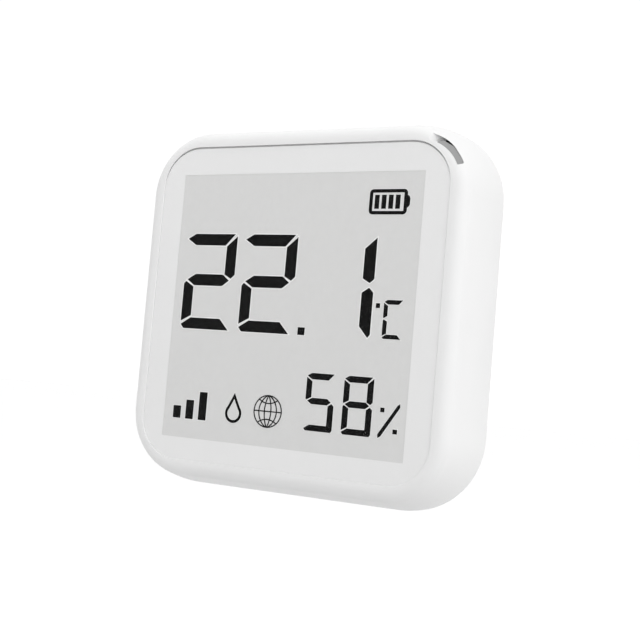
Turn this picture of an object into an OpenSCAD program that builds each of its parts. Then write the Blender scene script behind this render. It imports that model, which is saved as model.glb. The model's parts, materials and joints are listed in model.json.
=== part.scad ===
// Indoor temperature and humidity sensor with an e-paper display.
// A pillow-shaped square case: a front shell with the display, a battery tray
// for four AA cells and a back cover that stays on the wall.
// X is to the right seen from the front, the display faces -Y and +Z is up.
// The origin is the centre of the flat back face.

/* [Body] */
// Width and height of the case at its widest ring
body_w = 70; // [70:0.5:72]
// Depth of the case from front rim to back face
body_d = 26; // [26:0.5:28]
// Corner radius at the widest ring
corner_r = 14; // [13.5:0.5:14.5]
// Radius of the outward bow of the front half's sides
side_bow_r = 36; // [35:1:40]
// Radius of the rounded front rim
rim_r = 2.6; // [2.4:0.1:2.8]
// Depth of the widest ring behind the front rim
widest_y = 13.4; // [13:0.1:13.8]
// Rounding just behind the widest ring
waist_r = 2; // [1.6:0.1:2.2]
// Inward taper of the rear half in degrees
taper_deg = 24; // [22:0.5:24.5]
// Rounding around the back face
back_r = 3; // [2:0.5:3.5]
// Depth of the joint between front shell and back cover
split_y = 15.15; // [14.9:0.05:15.4]
// Width of the joint gap
split_gap = 0.2; // [0.15:0.05:0.3]

/* [Front panel] */
// Half width of the recess that takes the front lens
panel_half = 29.95; // [29.8:0.05:30]
// Corner radius of that recess
panel_r = 7.7; // [7.5:0.1:8.2]
// Width of the chamfer around the recess
panel_edge = 0.08; // [0.04:0.02:0.12]
// Gap between the lens and the sides of its recess
panel_gap = 0.01; // [0.01:0.01:0.04]
// Extra gap above the lens, which rests low in its recess
panel_drop = 0.14; // [0.1:0.01:0.16]
// How far the lens sits below the front rim
panel_sink = 0.04; // [0.02:0.02:0.1]
// Thickness of the film lens
lens_t = 0.125; // [0.1:0.025:0.2]
// Side of the clear window in the lens mask
window_w = 50.5; // [49:0.05:51]

/* [Display] */
// Sideways offset of the display from the middle of the panel
disp_x = 0; // [-0.4:0.05:0.4]
// Height offset of the display from the middle of the panel
disp_z = -0.55; // [-0.65:0.05:0.4]
// Thickness of the printed display shapes
ink_t = 0.04; // [0.02:0.01:0.04]
// Temperature reading, tens
temp_tens = 2; // [0:1:9]
// Temperature reading, units
temp_units = 2; // [0:1:9]
// Temperature reading, tenths
temp_tenths = 1; // [0:1:9]
// Humidity reading, tens
hum_tens = 5; // [0:1:9]
// Humidity reading, units
hum_units = 8; // [0:1:9]

/* [Vent] */
// Width of the curved air slot in the upper right corner
slot_w = 1; // [0.94:0.02:1.02]
// Radius of the slot's centre line
slot_r = 8.28; // [8.26:0.02:8.34]
// Angle of the slot's lower end
slot_a0 = 24.8; // [24:0.2:28]
// Angle at which the deep part of the slot ends
slot_a1 = 65.3; // [65:0.1:66]
// Depth of the grey insert below the rim surface
slot_depth = 0.2; // [0.15:0.05:0.3]

/* [Power] */
// Radius of one AA cell
cell_r = 7.2; // [7.1:0.05:7.25]
// Length of one AA cell over its cap
cell_l = 50.4; // [49.8:0.1:50.5]
// Spacing of the cells
cell_pitch = 14.6; // [14.55:0.05:14.7]
// Distance of the two wall screw holes
wall_hole_pitch = 36; // [30:1:40]
// Radius of a wall screw hole
wall_hole_r = 1.75; // [1.5:0.05:2]

/* [Reset button] */
// Radius of the button stem
button_r = 1.5; // [1.3:0.05:1.6]
// Running clearance around the stem
button_fit = 0.08; // [0.05:0.01:0.1]

/* [Hidden] */
$fn = 96;

function fine(v) = round(v * 1000) / 1000;   // whole micrometres
half = body_w / 2;
cc = half - corner_r;                       // corner centres
// side profile: r is measured from the corner centre, y from the front rim
bow_r0 = corner_r - side_bow_r;             // centre of the bow
rim_r0 = fine(bow_r0 + sqrt(pow(side_bow_r - rim_r, 2) - pow(widest_y - rim_r, 2))) + 0.002;
rim_k = side_bow_r / (side_bow_r - rim_r);
rim_y1 = fine(widest_y - (widest_y - rim_r) * rim_k);    // rim round meets the bow here
waist_r0 = corner_r - waist_r;
waist_y1 = fine(widest_y + waist_r * sin(taper_deg));
waist_r1 = waist_r0 + sqrt(pow(waist_r, 2) - pow(waist_y1 - widest_y, 2));
back_y0 = body_d - back_r;
back_r0 = fine(waist_r1 + ((waist_y1 - back_y0) * sin(taper_deg) - back_r) / cos(taper_deg));
back_y1 = fine(back_y0 + back_r * sin(taper_deg));
back_r1 = back_r0 + sqrt(pow(back_r, 2) - pow(back_y1 - back_y0, 2));

split_y0 = split_y - split_gap / 2;
split_y1 = split_y + split_gap / 2;
lens_y1 = panel_sink + lens_t;
mask_y1 = lens_y1 + 0.04;
ledge_y = mask_y1 + 0.11;
plate_y = 2.2;                              // back of the front plate
panel_c = panel_half - panel_r;             // corner centres of the panel recess
epaper_y0 = lens_y1 + 0.05;
epaper_y1 = epaper_y0 + 1.1;
epaper_half = 26.3;
foam_y1 = 2.6;
carrier_y1 = 3.6;
board_y0 = 4.6;
board_y1 = 5.6;
tray_y0 = 8.4;
tray_y1 = 9.75;
cell_y = body_d - 8.8;
cover_in_y = body_d - 1.4;
wall_x = 27.4;                              // inner face of the tray's end walls
plate_t = 0.3;                              // contact sheet
slot_at = [cc + 2.67, cc + 1.51];           // centre of the slot's curve
slot_floor_y = 2.4;
flare_at = [cc + 2.71, cc + 2.47];          // centre of the outer edge of the slot's wider upper half
flare_r = 8.18;
// slanting line at which the deep part of the slot meets the run-out
slot_stop = [[4.6, 8.68], [6.8, 9.04], [7.15, 10.5], [4.6, 10.5]];
tray_screw_at = [[14, 30.4], [-14, 30.4], [14, -30.4], [-14, -30.4]];
board_screw_at = [[28.4, 12], [-28.4, 12], [28.4, -12], [-28.4, -12]];
button_at = [0, 28.4];
usb_z = -5;
usb_y = board_y1 + 1.63;
sensor_at = 26.4;
disp_k = 1.0038;                            // drawing scale of the display shapes

// ---------- helpers ----------
module place() translate([0, -body_d, 0]) children();
// extrude a drawing in X and Z from depth y0 to y1
module ext(y0, y1) translate([0, y1, 0]) rotate([90, 0, 0]) linear_extrude(height = y1 - y0) children();
module cyl(p, r, y0, y1) translate([p[0], y1, p[1]]) rotate([90, 0, 0]) cylinder(h = y1 - y0, r = r);
module box(x0, x1, y0, y1, z0, z1) translate([x0, y0, z0]) cube([x1 - x0, y1 - y0, z1 - z0]);
// rectangle in the side profile
module rect(r0, r1, y0, y1) translate([r0, -y1]) square([r1 - r0, y1 - y0]);
// carry a side profile round the rounded square with corner centres at c
module ring(c = cc) for (k = [0:3]) rotate([0, -90 * k, 0]) {
    linear_extrude(height = 2 * c, center = true) translate([c, 0]) mirror([0, 1]) children();
    translate([c, 0, c]) rotate([90, 0, 0]) rotate_extrude(angle = 90) children();
}
// square plate with rounded corners
module rplate(hw, y0, y1, c = cc) {
    box(-c, c, y0, y1, -c, c);
    ring(c) rect(0, hw - c, y0, y1);
}
// depth and tilt of the rim's round at distance r from the corner centre
function rim_at(r) = fine(rim_r - sqrt(pow(rim_r, 2) - pow(r - rim_r0, 2)));
function rim_tilt(r) = fine(asin((r - rim_r0) / rim_r));
module rounded(w, h, r) {
    square([w - 2 * r, h], center = true);
    square([w, h - 2 * r], center = true);
    for (x = [-1, 1], y = [-1, 1]) translate([x * (w / 2 - r), y * (h / 2 - r)]) circle(r);
}
// outer side profile of the whole case; the rounds overlap what they join
module outer_profile() {
    rect(4, rim_r0, 0, rim_y1);
    intersection() {
        translate([rim_r0, -rim_r]) circle(rim_r);
        rect(rim_r0, rim_r0 + 4, -1, rim_y1 + 0.25);
    }
    intersection() {
        translate([bow_r0, -widest_y]) circle(side_bow_r, $fn = 360);
        rect(4, 20, rim_y1, widest_y);
    }
    rect(4, waist_r0, widest_y, waist_y1);
    intersection() {
        translate([waist_r0, -widest_y]) circle(waist_r);
        rect(waist_r0, 20, widest_y, waist_y1 + 0.4);
    }
    polygon([[4, -waist_y1], [waist_r1 - 0.01, -waist_y1], [back_r1 - 0.01, -back_y1], [4, -back_y1]]);
    rect(4, back_r0, back_y1, body_d);
    intersection() {
        translate([back_r0, -back_y0]) circle(back_r);
        rect(back_r0, 20, back_y1 - 0.5, body_d + 1);
    }
}

// ---------- air slot ----------
// stretch of the slot from angle a0 to a1, depth y0 to y1
module slot_sweep(a0, a1, w, y0, y1) translate([slot_at[0], 0, slot_at[1]]) rotate([90, 0, 0]) rotate([0, 0, a0])
    rotate_extrude(angle = a1 - a0) rect(slot_r - w / 2, slot_r + w / 2, y0, y1);
// wider upper half of the slot, angles about flare_at
module slot_flare(a0, a1, inset, y0, y1) translate([flare_at[0], 0, flare_at[1]]) rotate([90, 0, 0]) rotate([0, 0, a0])
    rotate_extrude(angle = a1 - a0) rect(flare_r - 0.55, flare_r - inset, y0, y1);
// lower end with rounded corners
module slot_end(w, y0, y1) {
    slot_sweep(slot_a0 - 1.6, slot_a0 + 0.5, w - 0.46, y0, y1);
    for (r = [slot_r - w / 2 + 0.25, slot_r + w / 2 - 0.25]) cyl([slot_at[0] + r * cos(slot_a0), slot_at[1] + r * sin(slot_a0)], 0.235, y0, y1);
}
// run-out that fades the slot's upper end into the rim
module slot_ramp() intersection() {
    union() {
        slot_sweep(57, 80, slot_w - 0.08, -1, 3.2);
        slot_flare(53, 77, 0.02, -1, 3.2);
    }
    translate([cc, 0, cc]) rotate([0, -59, 0]) translate([11, rim_at(11), 0]) rotate([0, 0, rim_tilt(11)])
        rotate([0, 90, 0]) linear_extrude(height = 4, center = true)
        polygon([[-1.75, -0.38], [-0.75, 0.4], [0.3, 1.15], [1.6, 2.0], [1.6, -2], [-1.75, -2]]);
}
module slot_cut() {
    difference() {
        union() {
            slot_sweep(slot_a0, slot_a1, slot_w, -1, slot_floor_y);
            slot_flare(28, 60, 0, -1, slot_floor_y);
        }
        ext(-2, 4) translate([cc, cc]) polygon(slot_stop);
    }
    slot_end(slot_w, -1, slot_floor_y);
    slot_ramp();
    // duct from the slot to the sensor chamber
    translate([cc, 0, cc]) rotate([0, -47, 0]) translate([8.8, 2.78, 0]) rotate([0, 0, -19.7]) rotate([0, 90, 0]) cylinder(h = 2.4, r = 0.42);
}

// ---------- case ----------
module shell_wall() difference() {
    intersection() { outer_profile(); rect(7, 20, -1, split_y0); }
    polygon([[6, -plate_y], [9.6, -plate_y], [11.2, -4.2], [12.1, -9], [12.3, -13], [12.3, -17], [6, -17]]);
}
module front_shell() color("whitesmoke") place() difference() {
    union() {
        ring() shell_wall();
        rplate(cc + 8, 0.1, plate_y);
        for (p = tray_screw_at) cyl(p, 2.2, plate_y - 0.3, tray_y0);
        for (p = board_screw_at) cyl(p, 1.9, plate_y - 0.3, board_y0);
        // wall of the sensor chamber
        cyl([sensor_at, sensor_at], 3.2, plate_y - 0.3, carrier_y1);
    }
    cyl([sensor_at, sensor_at], 2.3, plate_y, carrier_y1 + 1);
    // recess for the front panel, with a chamfered edge
    rplate(panel_half, -1, ledge_y, panel_c);
    ring(panel_c) polygon([[panel_r - 0.15, 0.5], [panel_r + panel_edge + 0.5, 0.5], [panel_r - 0.15, -panel_edge - 0.15]]);
    // glue channel under the lens, set upwards so that it opens above the lens
    translate([0, 0, 0.2]) ring(panel_c) rect(panel_r - 0.36, panel_r - 0.05, -0.5, 0.7);
    // display opening
    box(disp_x - epaper_half - 0.2, disp_x + epaper_half + 0.2, ledge_y - 1, plate_y + 1,
        disp_z - epaper_half - 0.2, disp_z + epaper_half + 0.2);
    for (p = tray_screw_at) cyl(p, 0.92, 3.6, tray_y0 + 1);
    for (p = board_screw_at) cyl(p, 0.74, 2.6, board_y0 + 1);
    slot_cut();
    // socket opening with a shallow plug recess
    translate([-half - 1, usb_y, usb_z]) rotate([0, 90, 0]) linear_extrude(height = 5) rounded(9.5, 3.8, 1.85);
    translate([-half - 1, usb_y, usb_z]) rotate([0, 90, 0]) linear_extrude(height = 2.1) rounded(12.6, 7, 3.2);
    // catches for the cover's hooks
    for (k = [0:3]) rotate([0, -90 * k, 0]) box(33, 33.75, 11.7, 13.2, 7.5, 14.5);
}
module back_cover() color("white") place() difference() {
    union() {
        ring() difference() {
            intersection() { outer_profile(); rect(4.5, 20, split_y1, 40); }
            polygon([[4, -14], [12.55, -14], [waist_r1 - 1.62 - (split_y1 + 0.4 - waist_y1) * tan(taper_deg), -split_y1 - 0.4],
                [back_r1 - 1.62, -back_y1], [back_r0, -cover_in_y], [4, -cover_in_y]]);
        }
        rplate(cc + 5.2, cover_in_y, body_d);
        // locating lip inside the front shell's edge
        ring() rect(10.85, 11.85, 13.9, split_y1 + 0.9);
        // spring hooks
        for (k = [0:3]) rotate([0, -90 * k, 0]) {
            box(31.85, 32.85, 11.9, 14.4, 8.2, 13.8);
            box(32.5, 33.2, 11.9, 12.9, 8.2, 13.8);
        }
        // bosses around the wall screws
        for (s = [-1, 1]) cyl([s * wall_hole_pitch / 2, 0], 2.7, cover_in_y - 0.9, cover_in_y + 0.2);
    }
    for (s = [-1, 1]) cyl([s * wall_hole_pitch / 2, 0], wall_hole_r, cover_in_y - 2, body_d + 1);
    // thumb notch for prising the case apart
    translate([0, split_y1 - 1.1, -half - 1.1]) rotate([0, 90, 0]) cylinder(h = 14, r = 2.3, center = true);
}

// ---------- front panel and display ----------
// plate with the lens outline, smaller by m all round
module lens_plate(m, y0, y1) ext(y0, y1) translate([0, -panel_drop / 2])
    rounded(2 * (panel_half - panel_gap - m), 2 * (panel_half - panel_gap - m) - panel_drop, panel_r - panel_gap - m);
module front_lens() color([0.9, 0.92, 0.93, 0.3]) place() lens_plate(0, panel_sink, lens_y1);
module lens_mask() color("white") place() difference() {
    lens_plate(0, lens_y1 + 0.01, mask_y1);
    box(disp_x - window_w / 2, disp_x + window_w / 2, lens_y1 - 1, mask_y1 + 1, disp_z - window_w / 2, disp_z + window_w / 2);
}
module lens_adhesive() color("gainsboro") place() difference() {
    lens_plate(0.2, mask_y1, ledge_y);
    box(disp_x - epaper_half - 0.6, disp_x + epaper_half + 0.6, mask_y1 - 1, ledge_y + 1, disp_z - epaper_half - 0.6, disp_z + epaper_half + 0.6);
}
module epaper_panel() color("lightgray") place() translate([disp_x, 0, disp_z])
    box(-epaper_half, epaper_half, epaper_y0, epaper_y1, -epaper_half, epaper_half);

// one segment of a seven-segment figure of width w, height h and stroke t
function seg(s, w, h, t) = let (m = 0.516 * h) [for (p =
    s == "a" ? [[0.05 * t, h - 0.45 * t], [0.84 * t, h], [w - 0.22 * t, h], [w - 1.17 * t, h - t], [0.93 * t, h - t]] :
    s == "b" ? [[w, h - 0.18 * t], [w, m + 0.5 * t], [w - 0.38 * t, m + 0.16 * t], [w - 1.03 * t, m + 0.52 * t], [w - 1.02 * t, h - 1.07 * t]] :
    s == "c" ? [[w - 0.4 * t, m - 0.2 * t], [w, m - 0.58 * t], [w, 0.32 * t], [w - 0.22 * t, 0.07 * t], [w - 1.02 * t, 0.95 * t], [w - 1.02 * t, m - 0.62 * t]] :
    s == "d" ? [[0.02 * t, 0.36 * t], [1.0 * t, 0.96 * t], [w - 1.12 * t, 0.96 * t], [w - 0.2 * t, 0], [0.34 * t, 0]] :
    s == "e" ? [[0.2 * t, m - 0.14 * t], [1.02 * t, m - 0.62 * t], [1.02 * t, 1.16 * t], [0, 0.63 * t], [0, m - 0.38 * t]] :
    s == "f" ? [[0, h - 0.66 * t], [1.0 * t, h - 1.3 * t], [1.0 * t, m + 0.58 * t], [0.12 * t, m + 0.12 * t], [0, m + 0.3 * t]] :
    [[0.32 * t, m], [1.16 * t, m + 0.5 * t], [w - 1.2 * t, m + 0.5 * t], [w - 0.53 * t, m], [w - 1.2 * t, m - 0.5 * t], [1.08 * t, m - 0.5 * t]]) p * disp_k];
LIT = ["abcdef", "bc", "abged", "abgcd", "fgbc", "afgcd", "afgcde", "abc", "abcdefg", "abcdfg"];
module figure(d, x, z, w, h, t) translate([x * disp_k, z * disp_k]) for (s = LIT[d]) polygon(seg(s, w, h, t));
module bar(x0, x1, z0, z1) translate([x0 * disp_k, z0 * disp_k]) square([(x1 - x0) * disp_k, (z1 - z0) * disp_k]);
module arc_line(c, r, t) translate(c) difference() { circle(r + t / 2); circle(r - t / 2); }
module globe(r, t) {
    difference() { circle(r); circle(r - t); }
    square([2 * r - t, t], center = true);
    for (d = [0.23, 0.62] * r, s = [-1, 1]) intersection() {
        arc_line([s * (d * d - r * r) / (2 * d), 0], (d * d + r * r) / (2 * d), t);
        circle(r - t / 2);
        translate([s * r / 2, 0]) square([r, 2 * r], center = true);
    }
    for (s = [-1, 1]) intersection() {
        arc_line([0, s * 4.55], 3.1, t);
        circle(r - t / 2);
    }
}
module drop(r, h, t) difference() {
    union() { circle(r); polygon([[-0.93 * r, 0.3 * r], [0, h - r], [0.93 * r, 0.3 * r]]); }
    circle(r - t);
    polygon([[-0.75 * r + 0.3 * t, 0.18 * r], [0, h - r - 2.1 * t], [0.75 * r - 0.3 * t, 0.18 * r]]);
}
module display_drawing() {
    figure(temp_tens, -23.45, -4.9, 11.3, 18.2, 2.2);
    figure(temp_units, -10.4, -4.9, 11.3, 18.2, 2.2);
    figure(temp_tenths, 5.5, -4.85, 11.3, 18.2, 2.2);
    bar(2.35, 3.8, -4.9, -3.5);
    // degree sign and unit
    bar(17.5, 18.3, 0.6, 1.45);
    translate([19.05 * disp_k, -4.7 * disp_k]) for (s = "afed") polygon(seg(s, 3.75, 6.8, 0.8));
    // humidity
    figure(hum_tens, 5.15, -21.8, 5.75, 10.3, 1.15);
    figure(hum_units, 12.65, -21.8, 5.75, 10.3, 1.15);
    bar(19.95, 20.75, -17.3, -16.5);
    bar(22.55, 23.4, -20.85, -20.05);
    polygon([for (p = [[23.15, -15.95], [23.6, -15.62], [23.66, -16.3], [20.35, -21.45], [19.8, -21.78], [19.72, -21.15]]) p * disp_k]);
    // battery level
    translate([18.25 * disp_k, 19.3 * disp_k]) difference() {
        rounded(7.35, 4.53, 0.75);
        square([6.0, 3.25], center = true);
    }
    polygon([for (p = [[21.7, 18.1], [22.25, 18.45], [22.42, 18.8], [22.42, 19.9], [22.25, 20.3], [21.7, 20.65]]) p * disp_k]);
    for (i = [0:3]) bar(15.63 + 1.34 * i, 16.55 + 1.34 * i, 18.05, 20.55);
    // signal strength
    for (b = [[-23.25, -19.65], [-20.4, -18.4], [-17.5, -16.72]]) bar(b[0], b[0] + 1.76, -22, b[1]);
    // humidity drop
    translate([-9.75 * disp_k, -20.1 * disp_k]) drop(1.8, 5.6, 0.55);
    // globe
    translate([-2.43 * disp_k, -19.13 * disp_k]) globe(2.99, 0.21);
}
module display_segments() color([0.12, 0.12, 0.12]) place() translate([disp_x + 0.23, 0, disp_z + 0.425])
    ext(epaper_y0 - ink_t, epaper_y0) display_drawing();
module display_foam() color("dimgray") place() box(-24.5, 24.5, epaper_y1, foam_y1, -20.8, 24.5);
module display_ribbon() color("darkorange") place() {
    box(-6, 6, epaper_y1, epaper_y1 + 0.12, -25.7, -21);
    box(-6, 6, epaper_y1 + 0.6, board_y1 + 0.26, -26.3, -26.18);
    box(-6, 6, board_y1 + 0.74, board_y1 + 0.86, -25.7, -23.6);
    translate([-6, epaper_y1 + 0.6, -25.7]) rotate([0, 90, 0]) linear_extrude(height = 12) intersection() {
        difference() { circle(0.6); circle(0.48); }
        translate([0, -1]) square([1, 1]);
    }
    translate([-6, board_y1 + 0.26, -25.7]) rotate([0, 90, 0]) linear_extrude(height = 12) intersection() {
        difference() { circle(0.6); circle(0.48); }
        square([1, 1]);
    }
}
module ribbon_connector() color("ivory") place() difference() {
    union() {
        box(-8, 8, board_y1, board_y1 + 1.3, -23.9, -19.8);
        for (i = [-5:5]) box(i * 1.1 - 0.2, i * 1.1 + 0.2, board_y1, board_y1 + 0.25, -19.9, -19.2);
    }
    box(-6.1, 6.1, board_y1 + 0.7, board_y1 + 0.9, -24.5, -22.4);
}
module display_carrier() color("lightgray") place() difference() {
    union() {
        difference() {
            box(-26, 26, foam_y1, carrier_y1, -25.6, 26);
            for (x = [-16, 0, 16], z = [-10, 6, 18]) ext(foam_y1 - 1, carrier_y1 + 1) translate([x, z]) rounded(11, 9, 2);
        }
        for (x = [-26, -8.6, 7.4, 24.8]) box(x, x + 1.2, carrier_y1 - 0.1, board_y0, -25.6, 22);
        for (z = [-3.2, 11.4]) box(-26, 26, carrier_y1 - 0.1, board_y0, z, z + 1.2);
    }
    // ribbon passage and room for the sensor chamber
    box(-7.4, 7.4, foam_y1 - 1, board_y0 + 1, -27, -21.6);
    translate([26, 0, 26]) rotate([0, 45, 0]) box(-6.2, 6.2, 0, 9, -6.2, 6.2);
}

// ---------- electronics ----------
module main_board() color("darkgreen") place() ext(board_y0, board_y1) difference() {
    union() {
        rounded(60.4, 54.8, 5);
        translate([-5.5, 24]) square([11, 6.2]);
        // tongue that carries the sensor
        translate([cc, cc]) rotate(45) translate([3, -3.4]) square([7.4, 6.8]);
    }
    for (p = board_screw_at) translate(p) circle(0.95);
    translate([-7.4, -28]) square([14.8, 2.8]);
    // slits that keep board heat away from the sensor
    translate([cc, cc]) rotate(45) for (s = [-1, 1]) translate([3.6, s * 2.1 - 0.45]) square([3, 0.9]);
    // slots for the terminal tails and the socket's tabs
    for (x = [-29.2, -26.9], s = [-1, 1]) translate([x - 0.6, usb_z + s * 4.32 - 0.28]) square([1.2, 0.56]);
    for (z = [20.3, -23.5]) translate([-27.6, z]) square([0.7, 3.2]);
}
module screw(p, y0, head_r, head_h, r, l) {
    difference() {
        cyl(p, head_r, y0, y0 + head_h);
        for (a = [0, 90]) translate([p[0], y0 + head_h, p[1]]) rotate([0, a, 0]) cube([head_r * 1.3, head_h, 0.45], center = true);
    }
    cyl(p, r, y0 - l, y0 + 0.05);
}
module board_screws() color("silver") place() for (p = board_screw_at) screw(p, board_y1, 1.6, 1.0, 0.72, 2.9);
module tray_screws() color("silver") place() for (p = tray_screw_at) screw(p, tray_y1, 1.9, 1.3, 0.9, 5.6);
module wireless_module() color("darkslategray") place() difference() {
    box(8, 24, board_y1, board_y1 + 0.8, -20, 4);
    for (i = [0:9]) for (x = [8, 24]) cyl([x, -18.5 + 1.5 * i], 0.35, board_y1 - 1, board_y1 + 2);
}
module module_shield() color("silver") place() difference() {
    ext(board_y1 + 0.8, board_y1 + 2.5) translate([16, -10.6]) rounded(14, 15.6, 0.6);
    ext(board_y1 + 0.5, board_y1 + 2.3) translate([16, -10.6]) rounded(13.6, 15.2, 0.4);
}
module chip(x, z, w, h, t) {
    box(x - w / 2, x + w / 2, board_y1 + 0.1, board_y1 + t, z - h / 2, z + h / 2);
    for (i = [-2:2]) for (s = [-1, 1]) box(x + i * w / 6 - 0.15, x + i * w / 6 + 0.15, board_y1, board_y1 + 0.25, z + s * (h / 2 + 0.1) - 0.5, z + s * (h / 2 + 0.1) + 0.5);
}
module driver_chip() color([0.13, 0.13, 0.14]) place() chip(-8, -13, 6, 6, 1.1);
module memory_chip() color([0.13, 0.13, 0.14]) place() chip(-18, -14, 5, 4.4, 1.5);
module power_regulator() color([0.13, 0.13, 0.14]) place() chip(-19, 4, 3, 3, 1.0);
module power_inductor() color("dimgray") place() difference() {
    ext(board_y1, board_y1 + 1.9) translate([-19, 11]) rounded(4.6, 4.6, 0.8);
    cyl([-19, 11], 1.1, board_y1 + 1.5, board_y1 + 3);
}
module board_capacitors() color("burlywood") place() {
    for (p = [[-12, 3], [-12, 6], [-12, 9], [-24, 2], [-24, 14], [2, 12], [5, 12], [8, 12], [-2, -6], [1, -6], [4, -6], [-13, -8], [26, -4]])
        box(p[0] - 0.5, p[0] + 0.5, board_y1, board_y1 + 0.8, p[1] - 1, p[1] + 1);
    for (p = [[-6, 16], [0, 16]]) box(p[0] - 1.6, p[0] + 1.6, board_y1, board_y1 + 1.9, p[1] - 1.4, p[1] + 1.4);
}
module clock_crystal() color("silver") place() ext(board_y1, board_y1 + 0.8) translate([0, -13]) rounded(3.2, 2.5, 0.4);
module usb_socket() color("silver") place() {
    translate([-33.4, usb_y, usb_z]) rotate([0, 90, 0]) difference() {
        linear_extrude(height = 7.3) rounded(8.94, 3.2, 1.5);
        translate([0, 0, -1]) linear_extrude(height = 7.5) rounded(8.34, 2.56, 1.25);
    }
    for (x = [-29.2, -26.9], s = [-1, 1]) box(x - 0.5, x + 0.5, board_y1 - 0.9, usb_y, usb_z + s * 4.32 - 0.15, usb_z + s * 4.32 + 0.15);
}
module usb_tongue() color([0.1, 0.1, 0.1]) place() box(-32.8, -26.9, usb_y - 0.35, usb_y + 0.35, usb_z - 3.3, usb_z + 3.3);
module reset_switch() color([0.2, 0.2, 0.2]) place() {
    box(-2, 2, board_y1, board_y1 + 1.5, button_at[1] - 1.5, button_at[1] + 1.5);
    cyl(button_at, 0.8, board_y1 + 1.4, board_y1 + 1.85);
}
module reset_button() color("lightgray") place() {
    cyl(button_at, 2.2, board_y1 + 2.2, board_y1 + 2.65);
    cyl(button_at, button_r, board_y1 + 2.6, tray_y1 + 0.9);
    translate([button_at[0], tray_y1 + 0.9, button_at[1]]) rotate([-90, 0, 0]) cylinder(h = 0.3, r1 = button_r, r2 = button_r - 0.3);
}
module sensor_chip() color("dimgray") place() translate([sensor_at, 0, sensor_at]) rotate([0, 45, 0]) difference() {
    box(-1.25, 1.25, board_y0 - 0.9, board_y0, -1.25, 1.25);
    cyl([0, 0], 0.5, board_y0 - 2, board_y0 - 0.6);
}
module sensor_gasket() color([0.25, 0.25, 0.26]) place() difference() {
    cyl([sensor_at, sensor_at], 2.95, carrier_y1, board_y0);
    cyl([sensor_at, sensor_at], 2.0, carrier_y1 - 1, board_y0 + 1);
}
module vent_insert() color([0.62, 0.62, 0.62]) place() difference() {
    intersection() {
        union() {
            slot_sweep(slot_a0, slot_a1, slot_w - 0.02, -0.5, 2.3);
            slot_end(slot_w - 0.02, -0.5, 2.3);
        }
        // sloping strip just under the rim's round
        translate([cc, 0, cc]) rotate([90, 0, 0]) rotate_extrude() translate([10.9, -rim_at(10.9) - 0.03 - slot_depth])
            polygon([[-0.5, 0.45], [1.05, -0.945], [1.05, -1.295], [-0.5, 0.1]]);
    }
    // wedge-shaped air inlet along the upper outer edge of the slot
    ext(-1, 4) translate([cc, cc]) polygon([[4.6, 8.65], [6.88, 9.02], [7.08, 8.87], [8.42, 8.12], [9.6, 9.4], [7.5, 11], [4.6, 11]]);
}
// dark dust filter at the bottom of the slot
module vent_filter() color([0.08, 0.08, 0.08]) place() {
    slot_sweep(slot_a0 + 1, 58, slot_w - 0.06, slot_floor_y - 0.5, slot_floor_y - 0.02);
    slot_flare(32, 58, 0.03, slot_floor_y - 0.5, slot_floor_y - 0.02);
    // rib that fills the wedge beside the sloping strip
    intersection() {
        union() {
            slot_sweep(slot_a0 + 3, 57, slot_w - 0.1, -0.5, slot_floor_y - 0.1);
            slot_flare(33, 57.4, 0.05, -0.5, slot_floor_y - 0.1);
        }
        ext(-1, 4) translate([cc, cc]) polygon([[7.1, 8.9], [8.4, 8.17], [9.6, 9.4], [8, 10.6], [7.2, 9.7]]);
        translate([cc, 0, cc]) rotate([90, 0, 0]) rotate_extrude() translate([10.9, -rim_at(10.9) - 0.03 - slot_depth])
            polygon([[-0.5, 0.36], [1.4, -1.35], [1.4, -3], [-0.5, -3]]);
    }
}

// ---------- battery compartment ----------
module battery_tray() color("gainsboro") place() difference() {
    union() {
        rplate(32.6, tray_y0, tray_y1);
        for (s = [-1, 1]) box(s > 0 ? wall_x : -wall_x - 1.4, s > 0 ? wall_x + 1.4 : -wall_x, tray_y1 - 0.1, 18.5, -27, 27);
        // cradle ribs between the cells
        for (z = [-cell_pitch, 0, cell_pitch]) for (x = [-18, -1, 16]) box(x, x + 2, tray_y1 - 0.1, 12.6, z - 2.2, z + 2.2);
        for (s = [-1, 1]) for (x = [-6, 4]) box(x, x + 2, tray_y1 - 0.1, 12.6, s > 0 ? 26.8 : -31, s > 0 ? 27.1 + 0 : -27.4);
    }
    for (z = [-1.5, -0.5, 0.5, 1.5] * cell_pitch) translate([-wall_x, cell_y, z]) rotate([0, 90, 0]) cylinder(h = 2 * wall_x, r = cell_r + 0.15);
    for (p = tray_screw_at) cyl(p, 1.15, tray_y0 - 1, tray_y1 + 1);
    cyl(button_at, button_r + button_fit, tray_y0 - 1, tray_y1 + 4);
    box(-half, -25.7, tray_y0 - 1, tray_y1 + 0.2, usb_z - 5.4, usb_z + 5.4);
    // slots for the two terminal tails
    for (z = [21.9, -21.9]) box(-wall_x - 0.1, -26.9, tray_y0 - 1, tray_y1 + 1, z - 1.6, z + 1.6);
}
// pressed dimple that meets a cell's cap, s = side
module dimple(s, z) translate([s * (wall_x - plate_t), cell_y, z]) rotate([0, -90 * s, 0]) cylinder(h = wall_x - plate_t - cell_l / 2 - 0.05, r1 = 3.2, r2 = 2);
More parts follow.
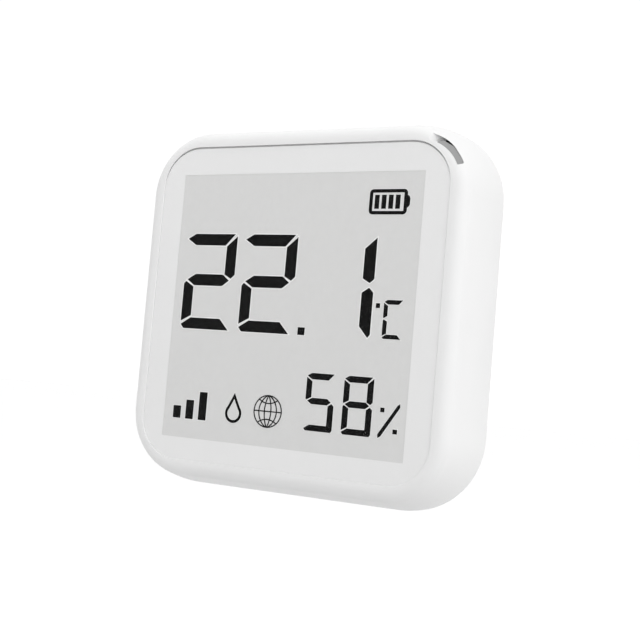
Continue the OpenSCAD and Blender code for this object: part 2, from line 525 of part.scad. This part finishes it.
// conical contact spring for a cell's base
module contact_spring(s, z) translate([s * (wall_x - plate_t), cell_y, z]) rotate([0, -90 * s, 0]) rotate_extrude()
    for (i = [0:3]) translate([4.2 - 0.56 * i, 0.15 + 0.42 * i]) circle(0.4, $fn = 24);
module contact_sheet(s, z0, z1) box(s > 0 ? wall_x - plate_t : -wall_x, s > 0 ? wall_x : -wall_x + plate_t, 12.6, 18.4, z0, z1);
module tail(z) box(-wall_x, -wall_x + plate_t, board_y0 - 0.3, 12.61, z - 1.4, z + 1.4);
module positive_terminal() color("silver") place() { contact_sheet(-1, 17.4, 26.4); dimple(-1, 1.5 * cell_pitch); tail(21.9); }
module negative_terminal() color("silver") place() { contact_sheet(-1, -26.4, -17.4); contact_spring(-1, -1.5 * cell_pitch); tail(-21.9); }
module contact_bridge_left() color("silver") place() { contact_sheet(-1, -11.8, 11.8); contact_spring(-1, 0.5 * cell_pitch); dimple(-1, -0.5 * cell_pitch); }
module contact_bridge_upper_right() color("silver") place() { contact_sheet(1, 2.8, 26.4); contact_spring(1, 1.5 * cell_pitch); dimple(1, 0.5 * cell_pitch); }
module contact_bridge_lower_right() color("silver") place() { contact_sheet(1, -26.4, -2.8); contact_spring(1, -0.5 * cell_pitch); dimple(1, -1.5 * cell_pitch); }
// one AA cell, its cap towards side s
module cell(i, s) color("seagreen") place() translate([0, cell_y, (2.5 - i) * cell_pitch]) mirror([s > 0 ? 0 : 1, 0, 0]) rotate([0, 90, 0]) translate([0, 0, -cell_l / 2]) rotate_extrude() {
    square([cell_r - 0.5, 0.5]);
    translate([0, 0.4]) square([cell_r, cell_l - 2.0]);
    square([2.7, cell_l]);
    translate([0, cell_l - 1.7]) square([cell_r - 0.5, 0.4]);
}
module battery_cell_1() cell(1, -1);
module battery_cell_2() cell(2, 1);
module battery_cell_3() cell(3, -1);
module battery_cell_4() cell(4, 1);

front_shell();
front_lens();
lens_mask();
lens_adhesive();
epaper_panel();
display_segments();
display_foam();
display_ribbon();
ribbon_connector();
display_carrier();
main_board();
board_screws();
wireless_module();
module_shield();
driver_chip();
memory_chip();
power_regulator();
power_inductor();
board_capacitors();
clock_crystal();
usb_socket();
usb_tongue();
reset_switch();
reset_button();
sensor_chip();
sensor_gasket();
vent_insert();
vent_filter();
battery_tray();
tray_screws();
positive_terminal();
negative_terminal();
contact_bridge_left();
contact_bridge_upper_right();
contact_bridge_lower_right();
battery_cell_1();
battery_cell_2();
battery_cell_3();
battery_cell_4();
back_cover();
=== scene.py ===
import json
import math

import bpy
import bmesh
from mathutils import Matrix, Vector


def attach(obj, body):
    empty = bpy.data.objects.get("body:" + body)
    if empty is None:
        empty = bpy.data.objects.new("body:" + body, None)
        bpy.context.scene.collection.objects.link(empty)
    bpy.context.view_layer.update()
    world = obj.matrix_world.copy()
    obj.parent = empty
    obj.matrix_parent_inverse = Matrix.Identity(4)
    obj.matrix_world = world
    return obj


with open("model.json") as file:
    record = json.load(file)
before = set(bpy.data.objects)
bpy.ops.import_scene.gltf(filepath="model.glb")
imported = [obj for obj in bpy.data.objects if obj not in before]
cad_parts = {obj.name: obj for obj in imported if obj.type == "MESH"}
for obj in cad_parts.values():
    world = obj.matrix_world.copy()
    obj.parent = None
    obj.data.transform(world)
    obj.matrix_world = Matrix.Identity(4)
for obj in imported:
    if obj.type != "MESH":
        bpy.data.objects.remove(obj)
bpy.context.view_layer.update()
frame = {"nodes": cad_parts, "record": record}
nodes = frame["nodes"]
MM = 0.001
DEPTH = 26.0            # case depth; y = 0 is the back face and y = -26 the front rim
scene = bpy.context.scene


# ---------------------------------------------------------------- materials
def new_material(name):
    m = bpy.data.materials.new(name)
    m.use_nodes = True
    nt = m.node_tree
    p = nt.nodes["Principled BSDF"]
    return m, nt, p


def noise(nt, scale, detail=3.0, rough=0.55, stretch=(1, 1, 1)):
    tc = nt.nodes.new("ShaderNodeTexCoord")
    mp = nt.nodes.new("ShaderNodeMapping")
    mp.inputs["Scale"].default_value = stretch
    tx = nt.nodes.new("ShaderNodeTexNoise")
    tx.inputs["Scale"].default_value = scale
    tx.inputs["Detail"].default_value = detail
    tx.inputs["Roughness"].default_value = rough
    nt.links.new(tc.outputs["Object"], mp.inputs["Vector"])
    nt.links.new(mp.outputs["Vector"], tx.inputs["Vector"])
    return tx.outputs["Fac"]


def span(nt, value, low, high, a=0.3, b=0.7):
    mr = nt.nodes.new("ShaderNodeMapRange")
    mr.inputs["From Min"].default_value = a
    mr.inputs["From Max"].default_value = b
    mr.inputs["To Min"].default_value = low
    mr.inputs["To Max"].default_value = high
    nt.links.new(value, mr.inputs["Value"])
    return mr.outputs["Result"]


def two_tone(nt, value, dark, light, a=0.3, b=0.7):
    mix = nt.nodes.new("ShaderNodeMix")
    mix.data_type = "RGBA"
    mix.inputs["A"].default_value = (*dark, 1)
    mix.inputs["B"].default_value = (*light, 1)
    nt.links.new(span(nt, value, 0, 1, a, b), mix.inputs["Factor"])
    return mix.outputs["Result"]


def shade(colour, k):
    return tuple(min(1.0, c * k) for c in colour)


def finish_material(name, colour, rough, vary=0.03, scale=220.0, rough_vary=0.04, metal=0.0,
                    spec=0.5, bump=0.0, bump_scale=2500.0, stretch=(1, 1, 1), coat=0.0, alpha=1.0):
    m, nt, p = new_material(name)
    n = noise(nt, scale, stretch=stretch)
    nt.links.new(two_tone(nt, n, shade(colour, 1 - vary), shade(colour, 1 + vary)), p.inputs["Base Color"])
    if rough_vary:
        nt.links.new(span(nt, n, rough - rough_vary, rough + rough_vary), p.inputs["Roughness"])
    else:
        p.inputs["Roughness"].default_value = rough
    p.inputs["Metallic"].default_value = metal
    p.inputs["Specular IOR Level"].default_value = spec
    p.inputs["Coat Weight"].default_value = coat
    p.inputs["Alpha"].default_value = alpha
    if bump:
        b = nt.nodes.new("ShaderNodeBump")
        b.inputs["Strength"].default_value = bump
        b.inputs["Distance"].default_value = 0.00005
        nt.links.new(noise(nt, bump_scale, detail=2.0), b.inputs["Height"])
        nt.links.new(b.outputs["Normal"], p.inputs["Normal"])
    return m


M = {}
M["shell_white"] = finish_material("shell_white", (0.76, 0.76, 0.76), 0.42, vary=0.008, scale=90, spec=0.35, bump=0.06, bump_scale=5200)
M["lens_clear"] = finish_material("lens_clear", (0.92, 0.93, 0.93), 0.12, vary=0.01, rough_vary=0, spec=0.5, alpha=0.003)
M["mask_white"] = finish_material("mask_white", (0.755, 0.755, 0.755), 0.5, vary=0.006, scale=60, spec=0.25)
M["adhesive_grey"] = finish_material("adhesive_grey", (0.62, 0.62, 0.61), 0.6, vary=0.04)
M["epaper_grey"] = finish_material("epaper_grey", (0.638, 0.638, 0.634), 0.65, vary=0.012, scale=900, spec=0.15)
M["ink_black"] = finish_material("ink_black", (0.0048, 0.0048, 0.0048), 0.7, vary=0.15, scale=1500, spec=0.03)
M["foam_grey"] = finish_material("foam_grey", (0.05, 0.05, 0.055), 0.9, vary=0.25, scale=2200, bump=0.5, bump_scale=2600)
# black filter felt; its near-black tone also paints the deep shade inside the vent slot
M["filter_black_painted_shade"] = finish_material("filter_black_painted_shade", (0.006, 0.006, 0.006), 0.9, vary=0.2, scale=2200, spec=0.04, bump=0.4, bump_scale=2600)
M["ribbon_amber"] = finish_material("ribbon_amber", (0.45, 0.20, 0.035), 0.35, vary=0.08, scale=350)
M["connector_ivory"] = finish_material("connector_ivory", (0.72, 0.68, 0.56), 0.5, vary=0.04)
M["carrier_grey"] = finish_material("carrier_grey", (0.36, 0.37, 0.38), 0.55, vary=0.04)
M["board_green"] = finish_material("board_green", (0.015, 0.13, 0.05), 0.35, vary=0.14, scale=420)
M["steel"] = finish_material("steel", (0.62, 0.62, 0.62), 0.28, vary=0.05, metal=1.0, scale=600)
M["chip_black"] = finish_material("chip_black", (0.02, 0.02, 0.021), 0.55, vary=0.15, scale=900)
M["ferrite_grey"] = finish_material("ferrite_grey", (0.045, 0.045, 0.05), 0.6, vary=0.15, scale=900)
M["capacitor_tan"] = finish_material("capacitor_tan", (0.42, 0.27, 0.14), 0.45, vary=0.1, scale=700)
M["button_grey"] = finish_material("button_grey", (0.42, 0.42, 0.42), 0.45, vary=0.03)
M["vent_grey"] = finish_material("vent_grey", (0.29, 0.29, 0.29), 0.6, vary=0.04, scale=700, spec=0.2)
M["tray_white"] = finish_material("tray_white", (0.70, 0.70, 0.69), 0.5, vary=0.02, scale=120, bump=0.08, bump_scale=4200)
M["nickel"] = finish_material("nickel", (0.66, 0.65, 0.62), 0.22, vary=0.05, metal=1.0, scale=500)
M["cell_wrap"] = finish_material("cell_wrap", (0.03, 0.16, 0.07), 0.3, vary=0.06, scale=200)



def cell_material(name, side):
    """Printed sleeve with a pale band towards the cap and bare metal ends; side is the cap's X direction."""
    m, nt, p = new_material(name)
    tc = nt.nodes.new("ShaderNodeTexCoord")
    sep = nt.nodes.new("ShaderNodeSeparateXYZ")
    nt.links.new(tc.outputs["Object"], sep.inputs[0])
    along = nt.nodes.new("ShaderNodeMath")
    along.operation = "MULTIPLY"
    along.inputs[1].default_value = side / MM
    nt.links.new(sep.outputs["X"], along.inputs[0])
    u = along.outputs[0]
    n = noise(nt, 260.0)
    colour = two_tone(nt, n, (0.022, 0.135, 0.055), (0.034, 0.165, 0.07))

    def over(below, tint, a, b):
        """Lay a tint over the colour between two stations along the cell."""
        lo, hi = span(nt, u, 0, 1, a - 0.03, a + 0.03), span(nt, u, 1, 0, b - 0.03, b + 0.03)
        mul = nt.nodes.new("ShaderNodeMath")
        mul.operation = "MULTIPLY"
        nt.links.new(lo, mul.inputs[0])
        nt.links.new(hi, mul.inputs[1])
        mix = nt.nodes.new("ShaderNodeMix")
        mix.data_type = "RGBA"
        nt.links.new(mul.outputs[0], mix.inputs["Factor"])
        nt.links.new(below, mix.inputs["A"])
        mix.inputs["B"].default_value = (*tint, 1)
        return mix.outputs["Result"], mul.outputs[0]

    colour, _ = over(colour, (0.62, 0.62, 0.60), 13.0, 23.6)
    colour, _ = over(colour, (0.02, 0.02, 0.022), 12.2, 12.7)
    colour, _ = over(colour, (0.62, 0.62, 0.60), -22.2, -21.8)
    colour, cap = over(colour, (0.68, 0.67, 0.64), 23.58, 40.0)
    colour, base = over(colour, (0.68, 0.67, 0.64), -40.0, -24.78)
    metal = nt.nodes.new("ShaderNodeMath")
    metal.operation = "ADD"
    nt.links.new(cap, metal.inputs[0])
    nt.links.new(base, metal.inputs[1])
    nt.links.new(colour, p.inputs["Base Color"])
    nt.links.new(metal.outputs[0], p.inputs["Metallic"])
    nt.links.new(span(nt, n, 0.24, 0.32), p.inputs["Roughness"])
    return m


slot_of = {s["node"]: s["material_slot"] for s in frame["record"]["subparts"]}
# the vent filter gets the near-black filter colour, which also paints the deep shade inside the vent slot
slot_of["vent_filter"] = "filter_black_painted_shade"
cells = {"battery_cell_1": -1, "battery_cell_2": 1, "battery_cell_3": -1, "battery_cell_4": 1}
for name, obj in nodes.items():
    obj.data.materials.clear()
    obj.data.materials.append(cell_material("wrap_" + name, cells[name]) if name in cells else M[slot_of[name]])


# ---------------------------------------------------------------- pale borders around the display's shapes
def front_loops(obj):
    """Outlines of the front faces of a node, one list of loops for each separate shape."""
    bm = bmesh.new()
    bm.from_mesh(obj.data)
    bmesh.ops.remove_doubles(bm, verts=bm.verts, dist=1e-7)
    bm.verts.index_update()
    bm.faces.index_update()
    bm.normal_update()
    front = {f for f in bm.faces if f.normal.y < -0.99}
    shapes, left = [], set(front)
    while left:
        stack = [min(left, key=lambda f: f.index)]
        left.discard(stack[0])
        shape = []
        while stack:
            f = stack.pop()
            shape.append(f)
            for e in f.edges:
                for g in e.link_faces:
                    if g in left:
                        left.discard(g)
                        stack.append(g)
        follow = {}
        area = sum(f.calc_area() for f in shape)
        members = set(shape)
        for f in shape:
            for lp in f.loops:
                if sum(1 for g in lp.edge.link_faces if g in members) == 1:
                    follow[lp.vert] = lp.link_loop_next.vert
        loops = []
        while follow:
            v = min(follow, key=lambda k: k.index)
            loop = []
            while v in follow:
                loop.append((v.co.x, v.co.z))
                v = follow.pop(v)
            loops.append(loop)
        shapes.append((area, loops))
    y = min(v.co.y for f in front for v in f.verts)
    bm.free()
    return shapes, y


def tidy(loop):
    """Drop points that lie on the straight line between their neighbours."""
    out = []
    n = len(loop)
    for i in range(n):
        a, b, c = Vector(loop[i - 1]), Vector(loop[i]), Vector(loop[(i + 1) % n])
        if (b - a).length > 1e-7 and abs((b - a).normalized().cross((c - b).normalized())) > 1e-3:
            out.append(loop[i])
    return out


def offset(loop, d):
    """Move an outline away from its shape by d, with mitred corners."""
    out = []
    n = len(loop)
    for i in range(n):
        a, b, c = Vector(loop[i - 1]), Vector(loop[i]), Vector(loop[(i + 1) % n])
        u, v = (b - a).normalized(), (c - b).normalized()
        nu, nv = Vector((u.y, -u.x)), Vector((v.y, -v.x))
        m = (nu + nv) / max(0.35, 1 + nu.dot(nv))
        out.append(b + m * d)
    return out


def segment_borders():
    shapes, y_ink = front_loops(nodes["display_segments"])
    y0, y1 = y_ink + 0.024 * MM, y_ink + 0.039 * MM
    bm = bmesh.new()
    for area, loops in shapes:
        length = sum((Vector(lp[i]) - Vector(lp[i - 1])).length for lp in loops for i in range(len(lp)))
        stroke = 2 * area / length
        if stroke < 0.3 * MM:
            continue
        width = min(0.17, max(0.085, 0.1 * stroke / MM)) * MM
        for lp in loops:
            lp = tidy(lp)
            rings = []
            for d, y in ((0.003 * MM, y0), (width, y0), (width, y1), (0.003 * MM, y1)):
                rings.append([bm.verts.new((q.x, y, q.y)) for q in offset(lp, d)])
            n = len(lp)
            for k in range(4):
                a, b = rings[k], rings[(k + 1) % 4]
                for i in range(n):
                    bm.faces.new((a[i], a[(i + 1) % n], b[(i + 1) % n], b[i]))
    bmesh.ops.recalc_face_normals(bm, faces=bm.faces)
    me = bpy.data.meshes.new("segment_borders")
    bm.to_mesh(me)
    bm.free()
    o = bpy.data.objects.new("segment_borders", me)
    scene.collection.objects.link(o)
    o.data.materials.append(finish_material("segment_border", (0.86, 0.86, 0.855), 0.65, vary=0.012, scale=900, spec=0.15))
    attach(o, "sensor_unit")
    return o


borders = segment_borders()


# ---------------------------------------------------------------- stage, light and camera
def plane(name, size, z):
    bm = bmesh.new()
    n = 12
    rows = [[bm.verts.new((size * (i / n - 0.5), size * (j / n - 0.5), z)) for i in range(n + 1)] for j in range(n + 1)]
    for j in range(n):
        for i in range(n):
            bm.faces.new((rows[j][i], rows[j][i + 1], rows[j + 1][i + 1], rows[j + 1][i]))
    me = bpy.data.meshes.new(name)
    bm.to_mesh(me)
    bm.free()
    o = bpy.data.objects.new(name, me)
    scene.collection.objects.link(o)
    return o


floor = plane("floor", 8.0, -0.12)


def floor_material():
    """Pale floor with a painted soft shadow: the albedo is darker below the object."""
    m, nt, p = new_material("floor_pale_painted_shadow")
    tc = nt.nodes.new("ShaderNodeTexCoord")
    d = nt.nodes.new("ShaderNodeVectorMath")
    d.operation = "DISTANCE"
    nt.links.new(tc.outputs["Object"], d.inputs[0])
    d.inputs[1].default_value = (0, -0.02, -0.12)
    # painted shadow: the floor colour runs from 0.61 under the object to 0.93 further out
    nt.links.new(two_tone(nt, d.outputs["Value"], (0.61, 0.61, 0.61), (0.93, 0.93, 0.93), 0.09, 0.225), p.inputs["Base Color"])
    p.inputs["Roughness"].default_value = 0.9
    p.inputs["Specular IOR Level"].default_value = 0.0
    return m


floor.data.materials.append(floor_material())

world = bpy.data.worlds.new("studio")
scene.world = world
world.use_nodes = True
wt = world.node_tree
bg = wt.nodes["Background"]
tc = wt.nodes.new("ShaderNodeTexCoord")


def world_lobe(direction, a, b, low, high):
    d = wt.nodes.new("ShaderNodeVectorMath")
    d.operation = "DOT_PRODUCT"
    wt.links.new(tc.outputs["Generated"], d.inputs[0])
    d.inputs[1].default_value = Vector(direction).normalized()
    r = wt.nodes.new("ShaderNodeMapRange")
    r.interpolation_type = "SMOOTHSTEP"
    for key, value in (("From Min", a), ("From Max", b), ("To Min", low), ("To Max", high)):
        r.inputs[key].default_value = value
    wt.links.new(d.outputs["Value"], r.inputs["Value"])
    return r.outputs["Result"]


def world_sum(u, v):
    m = wt.nodes.new("ShaderNodeMath")
    m.operation = "ADD"
    wt.links.new(u, m.inputs[0])
    wt.links.new(v, m.inputs[1])
    return m.outputs[0]


# even room light, a white sweep behind, a large soft box above and fills from both sides
strength = world_lobe((0, 0, 1), -2.0, -1.5, 0.0, 0.55)
strength = world_sum(strength, world_lobe((-0.45, 0.88, 0.05), 0.72, 0.90, 0.0, 0.50))
strength = world_sum(strength, world_lobe((0.15, 0.25, 0.95), 0.6, 0.95, 0.0, 0.36))
strength = world_sum(strength, world_lobe((0.93, -0.36, 0.1), 0.55, 0.95, 0.0, 1.20))
strength = world_sum(strength, world_lobe((0.75, -0.66, 0.05), 0.55, 0.95, 0.0, 0.10))
strength = world_sum(strength, world_lobe((-0.6, -0.1, 0.8), 0.6, 0.95, 0.0, 0.76))
wt.links.new(strength, bg.inputs["Strength"])
bg.inputs["Color"].default_value = (1, 1, 1, 1)


def area(name, loc, target, size, watts):
    d = bpy.data.lights.new(name, "AREA")
    d.shape = "DISK"
    d.size = size
    d.energy = watts
    o = bpy.data.objects.new(name, d)
    o.location = loc
    o.rotation_euler = (Vector(target) - Vector(loc)).to_track_quat("-Z", "Y").to_euler()
    scene.collection.objects.link(o)
    return o


area("key", (0.25, -0.20, 0.54), (0, -0.013, 0), 0.35, 0.66)

cam_data = bpy.data.cameras.new("camera")
cam_data.sensor_width = 36.0
cam_data.lens = 60.666
cam_data.clip_start = 0.005
cam_data.clip_end = 50
cam = bpy.data.objects.new("camera", cam_data)
right = Vector((0.880041, 0.467352, 0.084319))
up = Vector((-0.046257, -0.09235, 0.994652))
back = Vector((0.472639, -0.879235, -0.059654))
cam.matrix_world = Matrix((
    (right.x, up.x, back.x, 0.098354),
    (right.y, up.y, back.y, -0.195737),
    (right.z, up.z, back.z, -0.013667),
    (0, 0, 0, 1)))
scene.collection.objects.link(cam)
scene.camera = cam
scene.view_settings.view_transform = "Standard"
scene.view_settings.look = "None"
